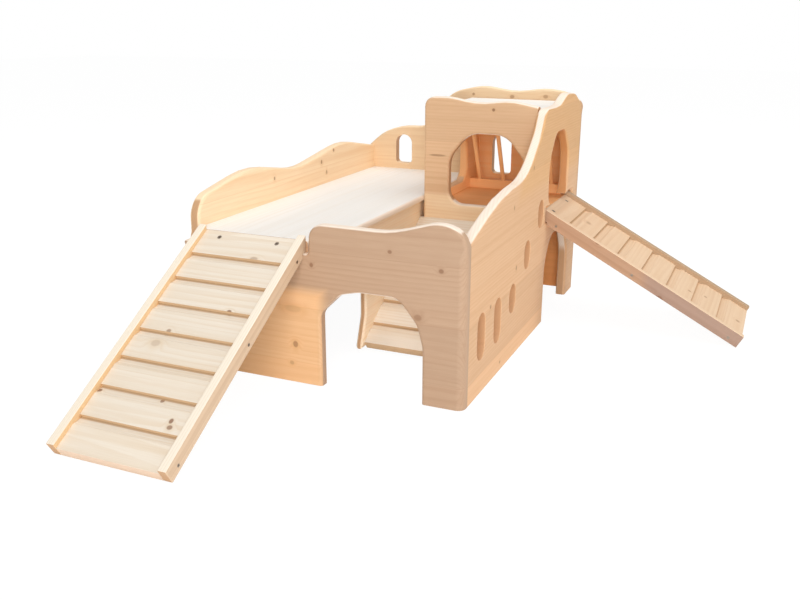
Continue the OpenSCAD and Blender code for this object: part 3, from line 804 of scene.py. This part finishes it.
def made_on_rods(node, name, tree, values, material):
    """Makes a piece by a tree on the rods of a CAD node, as one plain mesh."""
    found = rods(node)
    mesh = bpy.data.meshes.new(name)
    mesh.from_pydata([rod[0] for rod in found], [], [])
    axis = mesh.attributes.new("axis", "FLOAT_VECTOR", "POINT")
    axis.data.foreach_set("vector", [c for rod in found for c in rod[1]])
    piece = placed(name, mesh)
    modifier = piece.modifiers.new(tree.name, "NODES")
    modifier.node_group = tree
    values = {**values, "Material": material}
    for item in tree.interface.items_tree:
        if item.in_out == "INPUT" and item.name in values:
            modifier[item.identifier] = values[item.name]
    settle(piece)
    if not piece.data.polygons:
        raise RuntimeError(name + " came out empty")
    dress(piece, node, material)


# Slopes of the front, right and inner ramps, repeated from the part's source
FRONT_SLOPE, RIGHT_SLOPE, INNER_SLOPE = math.radians(31.152), math.radians(28.221), math.radians(34.671)
UP_FRONT = Vector((0, math.cos(FRONT_SLOPE), math.sin(FRONT_SLOPE)))
UP_RIGHT = Vector((-math.cos(RIGHT_SLOPE), 0, math.sin(RIGHT_SLOPE)))
UP_INNER = Vector((0, math.cos(INNER_SLOPE), math.sin(INNER_SLOPE)))

# Knots in millimetres: x, y, z, radius, stretch along the grain, darkness
FRONT_KNOTS = [
    (-211.7, -165.9, 61.7, 6.5, 0.8, 0.55), (-219.0, -165.9, 30.5, 4.0, 1.2, 0.3),
    (-180.5, -165.9, 189.0, 4.5, 0.8, 0.6), (-55.6, -165.9, 221.9, 3.4, 1.2, 0.6),
    (21.2, -165.9, 202.8, 4.0, 1.2, 0.6), (-12.9, -165.9, 131.2, 6.0, 1.2, 0.4),
    (-214.0, -165.9, 118.0, 7.0, 2.4, 0.15),
]
TOWER_KNOTS = [(-38.2, 230.1, 379.8, 3.4, 1.0, 0.75), (-140.0, 230.1, 296.0, 2.4, 8.0, 0.5)]
LEFT_KNOTS = [
    (-386.6, 76.4, 261.2, 4.0, 0.8, 0.6), (-386.6, 248.8, 265.3, 5.0, 0.8, 0.6),
    (-386.6, 268.0, 243.0, 5.0, 0.8, 0.45), (-386.6, 299.1, 281.7, 4.0, 1.0, 0.6),
]
BACK_KNOTS = [
    (-163.1, 486.1, 383.2, 3.4, 1.0, 0.6), (-82.2, 486.1, 380.8, 4.2, 1.4, 0.5),
    (-14.3, 486.1, 383.2, 4.4, 1.4, 0.45),
]
RIGHT_KNOTS = [
    (57.4, 157.2, 297.4, 4.5, 0.7, 0.5), (57.4, 52.4, 251.4, 4.5, 0.6, 0.5), (57.4, 76.8, 148.9, 5.0, 0.7, 0.5),
    (57.4, -52.8, 122.5, 4.0, 1.0, 0.5), (57.4, 4.5, 13.5, 3.0, 1.4, 0.5),
]
FRONT_TREAD_KNOTS = [
    (-258.1, -197.0, 197.2, 5.0, 1.6, 0.4), (-245.6, -282.0, 142.6, 4.0, 1.2, 0.85),
    (-317.8, -324.9, 119.8, 4.6, 1.0, 0.6), (-325.4, -344.7, 107.9, 7.0, 1.3, 0.22),
    (-264.6, -413.2, 61.3, 4.2, 0.9, 0.7), (-232.0, -439.0, 50.5, 4.8, 0.8, 0.8),
    (-229.0, -447.0, 46.0, 4.2, 1.2, 0.7), (-364.0, -418.3, 62.0, 4.0, 1.2, 0.8),
]
RIGHT_TREAD_KNOTS = [
    (112.4, 356.6, 169.1, 6.0, 1.2, 0.3), (330.4, 361.8, 52.1, 4.0, 1.0, 0.45),
    (303.7, 339.5, 66.5, 4.0, 1.0, 0.45), (389.3, 343.6, 20.5, 5.0, 1.2, 0.4),
]
NEAR_RAIL_KNOTS = [(149.6, 268.3, 157.1, 4.0, 1.4, 0.45), (262.3, 258.9, 71.6, 4.5, 1.4, 0.55)]


class CASTLE_OT_walls(bpy.types.Operator):
    """Makes the standing boards: four outer walls, the partition and the tower's walls"""

    bl_idname = "castle.walls"
    bl_label = "Walls"

    def execute(self, context):
        c, sizes = settings()
        middle = sum(corner[0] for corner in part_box("tower_left_wall")) * PER_METRE / 2
        # Boxes in millimetres where a wall takes another colour: corners and kind
        # Painted light: lifts the front ramp's shadow off the front wall's left leg.
        front_zones = [((-420, -190, -60), (-150, -140, 160), "leg")]
        # Painted bounce light: the orange inside the tower room and, stronger, in the lower room.
        back_zones = [
            ((-170, 484, 190), (80, 490, 366), "room"),
            ((-190, 484, -60), (80, 490, 200), "glow"),
        ]
        # Painted light: lifts the shade on the tower front's lower part.
        tower_zones = [((-220, 220, 100), (90, 256, 232), "warm")]
        right_zones = [
            ((-20, 60, 240), (120, 560, 600), "high"),
            ((-20, -300, -10), (120, 275, 32), "strip"),
        ]
        # Painted bounce light on the inner part of the tower's left wall.
        inner_zones = [((middle - 1, 180, 160), (middle + 21, 540, 460), "room")]
        # Boxes round the right wall's slits and doorway, and the colour of the edges in them: end grain darkened
        # by painted shade
        shaded_openings = [
            ((-20, -260, -60), (120, 190, 215), c.slit), ((-20, 60, 60), (120, 300, 290), c.slit),
            ((-20, 230, 200), (120, 460, 366), c.jamb),
        ]
        for node, kind, edge, end, grain, knots, shift, ref, snug, zones in (
            ("front_panel", "front", c.cut, c.front, X, FRONT_KNOTS, 0.62, "+", "x- x+", front_zones),
            ("back_wall", "back", c.warm, c.end, X, BACK_KNOTS, 0.2, "-", "x- x+", back_zones),
            ("tower_front", "tower", c.cut, c.end, X, TOWER_KNOTS, 0.35, "+", "x+", tower_zones),
            ("right_wall", "right", c.cut, c.end, Y, RIGHT_KNOTS, 0.659, "-", "y- y+", right_zones),
            ("left_wall", "warm", c.warm, c.end, Y, LEFT_KNOTS, 0.1, "+", "y-204 y+", ()),
            # The partition's colour is painted light that lifts its shade.
            ("deck_partition", "bright", c.bright, c.end, Y, (), 0.5, "-", "y- y+ z+", ()),
            # The tower's left wall takes the rooms' painted bounce light on its end grain.
            ("tower_left_wall", "tower", c.tower, c.room, Y, (), 0.3, "-", "y- y+ z+ z-", inner_zones),
        ):
            title = "Sanded spruce, " + node.replace("_", " ")
            steep, edge_boxes = (0.86, shaded_openings) if node == "right_wall" else (0.6, ())
            wood = spruce(
                title, kind, edge, grain, Z, knots, contrast=0.3, shift=shift, zones=zones, steep=steep,
                end=end, edge_boxes=edge_boxes,
            )
            corner = sizes.corner_round if node in ("front_panel", "back_wall") else 0.0
            sanded_wall(node, wood, 1 if grain is X else 0, ref, sizes.wall_round, snug, corner)
        return {"FINISHED"}


class CASTLE_OT_floors(bpy.types.Operator):
    """Makes the deck, the tower floor and the lift-off roof"""

    bl_idname = "castle.floors"
    bl_label = "Deck, tower floor and roof"

    def execute(self, context):
        c, sizes = settings()
        deck = spruce("Pale spruce, deck", "deck", c.cut, Y, X, contrast=0.3, shift=0.4)
        rounded_board("deck", deck, sizes.deck_round, "x- y- y+ z-", segments=5, top_only=True)
        # The tower floor's orange is the rooms' painted bounce light.
        floor = spruce("Spruce with painted bounce light, tower floor", "room", c.room, X, Y)
        rounded_board("tower_floor", floor, sizes.ease)
        roof = spruce("Pale spruce, tower roof", "deck", c.cut, X, Y, contrast=0.3, shift=0.7)
        rounded_board("tower_roof", roof, sizes.rail_round, segments=3)
        return {"FINISHED"}


class CASTLE_OT_battens(bpy.types.Operator):
    """Makes the battens under the deck, the tower floor, the roof and the inner ramp"""

    bl_idname = "castle.battens"
    bl_label = "Battens"

    def execute(self, context):
        c, sizes = settings()
        for title, grain, across, nodes in (
            ("Planed spruce, long battens", Y, Z,
             ("deck_batten_left", "deck_batten_right", "tower_floor_batten_left", "tower_floor_batten_right")),
            ("Planed spruce, cross battens", X, Z,
             ("deck_batten_back", "roof_batten_front", "roof_batten_back")),
            ("Planed spruce, sloping battens", UP_INNER, X, ("inner_ramp_batten_left", "inner_ramp_batten_right")),
        ):
            # All battens take the rooms' painted bounce light.
            wood = spruce(title, "room", c.room, grain, across)
            for node in nodes:
                rounded_board(node, wood, sizes.ease)
        return {"FINISHED"}


class CASTLE_OT_ramps(bpy.types.Operator):
    """Makes the grooved boards of the three ramps and the rails of the outer two"""

    bl_idname = "castle.ramps"
    bl_label = "Ramps"

    def execute(self, context):
        c, sizes = settings()
        # Boxes in millimetres round the outer ramps' feet and the lower half of the near rail
        toes = [((-450, -530, -30), (-150, -470, 40), c.toe), ((370, 150, -30), (430, 450, 40), c.toe)]
        foot = [((220, 150, -60), (480, 300, 150), "grey")]
        for node, kind, groove, grain, across, knots, shift in (
            ("front_ramp_board", "tread", c.groove, X, UP_FRONT, FRONT_TREAD_KNOTS, 0.3),
            ("right_ramp_board", "tan", c.shade, Y, UP_RIGHT, RIGHT_TREAD_KNOTS, 0.6),
            ("inner_ramp_board", "tread", c.groove, X, UP_INNER, (), 0.1),
        ):
            title = "Grooved spruce, " + node.replace("_", " ")
            outward = grain.cross(across)
            top = max(v.co.dot(outward) for v in NODES[node].data.vertices)
            wood = spruce(
                # The treads' edges carry painted shade from the risers in the grooves.
                title, kind, c.shaded_riser, grain, across, knots, contrast=0.45, shift=shift,
                # The grooves' bottoms carry painted shade.
                groove_shade=(top, sizes.groove, groove), edge_boxes=toes,
            )
            rounded_board(node, wood, sizes.ease)
        for node, kind, edge, along, grain, knots, zones in (
            ("front_ramp_left_rail", "inner", c.rail, X, UP_FRONT, (), ()),
            ("front_ramp_right_rail", "side", c.rail, X, UP_FRONT, (), ()),
            ("right_ramp_near_rail", "near", c.tan, Y, UP_RIGHT, NEAR_RAIL_KNOTS, foot),
            ("right_ramp_far_rail", "far", c.far, Y, UP_RIGHT, (), ()),
        ):
            title = "Planed spruce, " + node.replace("_", " ")
            wood = spruce(title, kind, edge, grain, along.cross(grain), knots, zones=zones)
            rounded_board(node, wood, sizes.rail_round, segments=3)
        return {"FINISHED"}


class CASTLE_OT_hay_rack(bpy.types.Operator):
    """Makes the hay rack's two rails and its round bars"""

    bl_idname = "castle.hay_rack"
    bl_label = "Hay rack"

    def execute(self, context):
        c, sizes = settings()
        # The rack's rails and bars take the rooms' painted bounce light.
        wood = spruce("Planed spruce, hay rack rails", "room", c.room, X, Z)
        for node in ("hay_rack_foot_rail", "hay_rack_head_rail"):
            rounded_board(node, wood, sizes.ease)
        _, grain, size = rods("hay_rack_bars")[0]
        bars = spruce("Turned spruce, hay rack bars", "room", c.room, grain, X)
        values = {"Diameter": BAR_THICK, "Length": size, "Sides": BAR_SIDES}
        made_on_rods("hay_rack_bars", "hay_rack_round_bars", bar_tree(), values, bars)
        return {"FINISHED"}


class CASTLE_OT_screws(bpy.types.Operator):
    """Makes the screws of the two outer ramps"""

    bl_idname = "castle.screws"
    bl_label = "Screws"

    def execute(self, context):
        c, sizes = settings()
        steel = zinc_steel("Zinc-plated steel, screws", c.steel)
        tree = screw_tree()
        for node, (head, shank) in (
            ("front_ramp_sill_screws", SILL_SCREW), ("right_ramp_sill_screws", SILL_SCREW),
            ("front_ramp_rail_screws", RAIL_SCREW), ("right_ramp_rail_screws", RAIL_SCREW),
        ):
            deep = (head - shank) / 2
            values = {
                "Head": head, "Shank": shank, "Length": rods(node)[0][2] - deep,
                "Recess": min(sizes.recess, RECESS_SHARE * deep), "Sides": sizes.screw_sides,
            }
            made_on_rods(node, node.replace("_screws", "_countersunk_screws"), tree, values, steel)
        return {"FINISHED"}


def studio_floor():
    """White paper just under the ground, which looks evenly lit and still takes soft shadows."""
    mesh = bpy.data.meshes.new("studio_floor")
    corners = [(x * FLOOR_REACH, y * FLOOR_REACH, FLOOR_LEVEL) for x, y in ((-1, -1), (1, -1), (1, 1), (-1, 1))]
    mesh.from_pydata(corners, [], [(0, 1, 2, 3)])
    floor = placed("studio_floor", mesh)
    paper = bpy.data.materials.new("White studio paper")
    tree = emptied(paper)
    rays = add(tree, "ShaderNodeLightPath").outputs
    matt = add(tree, "ShaderNodeBsdfDiffuse", {"Color": rgba(linear("FAFAF9"))}).outputs[0]
    glow = add(tree, "ShaderNodeEmission", {"Color": (1, 1, 1, 1), "Strength": PAPER_GLOW}).outputs[0]
    seen = math_of(tree, "MAXIMUM", rays["Is Camera Ray"], rays["Is Glossy Ray"])
    share = math_of(tree, "MULTIPLY", seen, PAPER_SHARE)
    mixed = add(tree, "ShaderNodeMixShader", {0: share, 1: matt, 2: glow}).outputs[0]
    add(tree, "ShaderNodeOutputMaterial", {"Surface": mixed})
    mesh.materials.append(paper)


def studio_sky():
    """A white world that lights the castle less than it shows."""
    world = bpy.data.worlds.new("Soft studio")
    tree = emptied(world)
    rays = add(tree, "ShaderNodeLightPath").outputs
    seen = math_of(tree, "MAXIMUM", rays["Is Camera Ray"], rays["Is Transmission Ray"])
    levels = {"Value": seen, "To Min": SKY_LIGHT, "To Max": SKY_SEEN}
    level = add(tree, "ShaderNodeMapRange", levels).outputs[0]
    sky = add(tree, "ShaderNodeBackground", {"Color": (1, 1, 1, 1), "Strength": level}).outputs[0]
    add(tree, "ShaderNodeOutputWorld", {"Surface": sky})
    return world


class CASTLE_OT_stage(bpy.types.Operator):
    """Makes the floor, the soft light and the camera"""

    bl_idname = "castle.stage"
    bl_label = "Stage"

    def execute(self, context):
        scene = context.scene
        scene.view_settings.view_transform = "Standard"
        studio_floor()
        scene.world = studio_sky()
        for name, place, aim, size, power in LAMPS:
            lamp = bpy.data.lights.new(name, "AREA")
            lamp.size = size
            lamp.energy = power
            light = placed(name, lamp)
            light.location = place
            light.rotation_euler = (Vector(aim) - Vector(place)).to_track_quat("-Z", "Y").to_euler()
        view = bpy.data.cameras.new("photo_view")
        view.sensor_width = SENSOR_WIDTH
        view.lens = SENSOR_WIDTH * FOCAL_PIXELS / PHOTO_PIXELS
        camera = placed("photo_view", view)
        camera.location = CAMERA_PLACE
        camera.rotation_euler = [math.radians(turn) for turn in (90 - CAMERA_DOWN, CAMERA_ROLL, CAMERA_HEADING)]
        scene.camera = camera
        return {"FINISHED"}


class CASTLE_PT_sidebar(bpy.types.Panel):
    """Lists the castle's steps, sizes and colours"""

    bl_label = "Castle"
    bl_idname = "CASTLE_PT_sidebar"
    bl_space_type = "VIEW_3D"
    bl_region_type = "UI"
    bl_category = "Castle"

    def draw(self, context):
        for step in STEPS:
            self.layout.operator(step.bl_idname)
        for group in (context.scene.castle_sizes, context.scene.castle_colours):
            for name in group.__annotations__:
                self.layout.prop(group, name)


STEPS = (
    CASTLE_OT_stage, CASTLE_OT_walls, CASTLE_OT_floors, CASTLE_OT_battens,
    CASTLE_OT_ramps, CASTLE_OT_hay_rack, CASTLE_OT_screws,
)
CLASSES = (CastleSizes, CastleColours, *STEPS, CASTLE_PT_sidebar)


def register():
    for cls in CLASSES:
        bpy.utils.register_class(cls)
    bpy.types.Scene.castle_sizes = PointerProperty(type=CastleSizes)
    bpy.types.Scene.castle_colours = PointerProperty(type=CastleColours)


def unregister():
    del bpy.types.Scene.castle_colours
    del bpy.types.Scene.castle_sizes
    for cls in reversed(CLASSES):
        bpy.utils.unregister_class(cls)


def main():
    register()
    for step in STEPS:
        group, name = step.bl_idname.split(".")
        getattr(getattr(bpy.ops, group), name)()


if __name__ == "__main__":
    main()
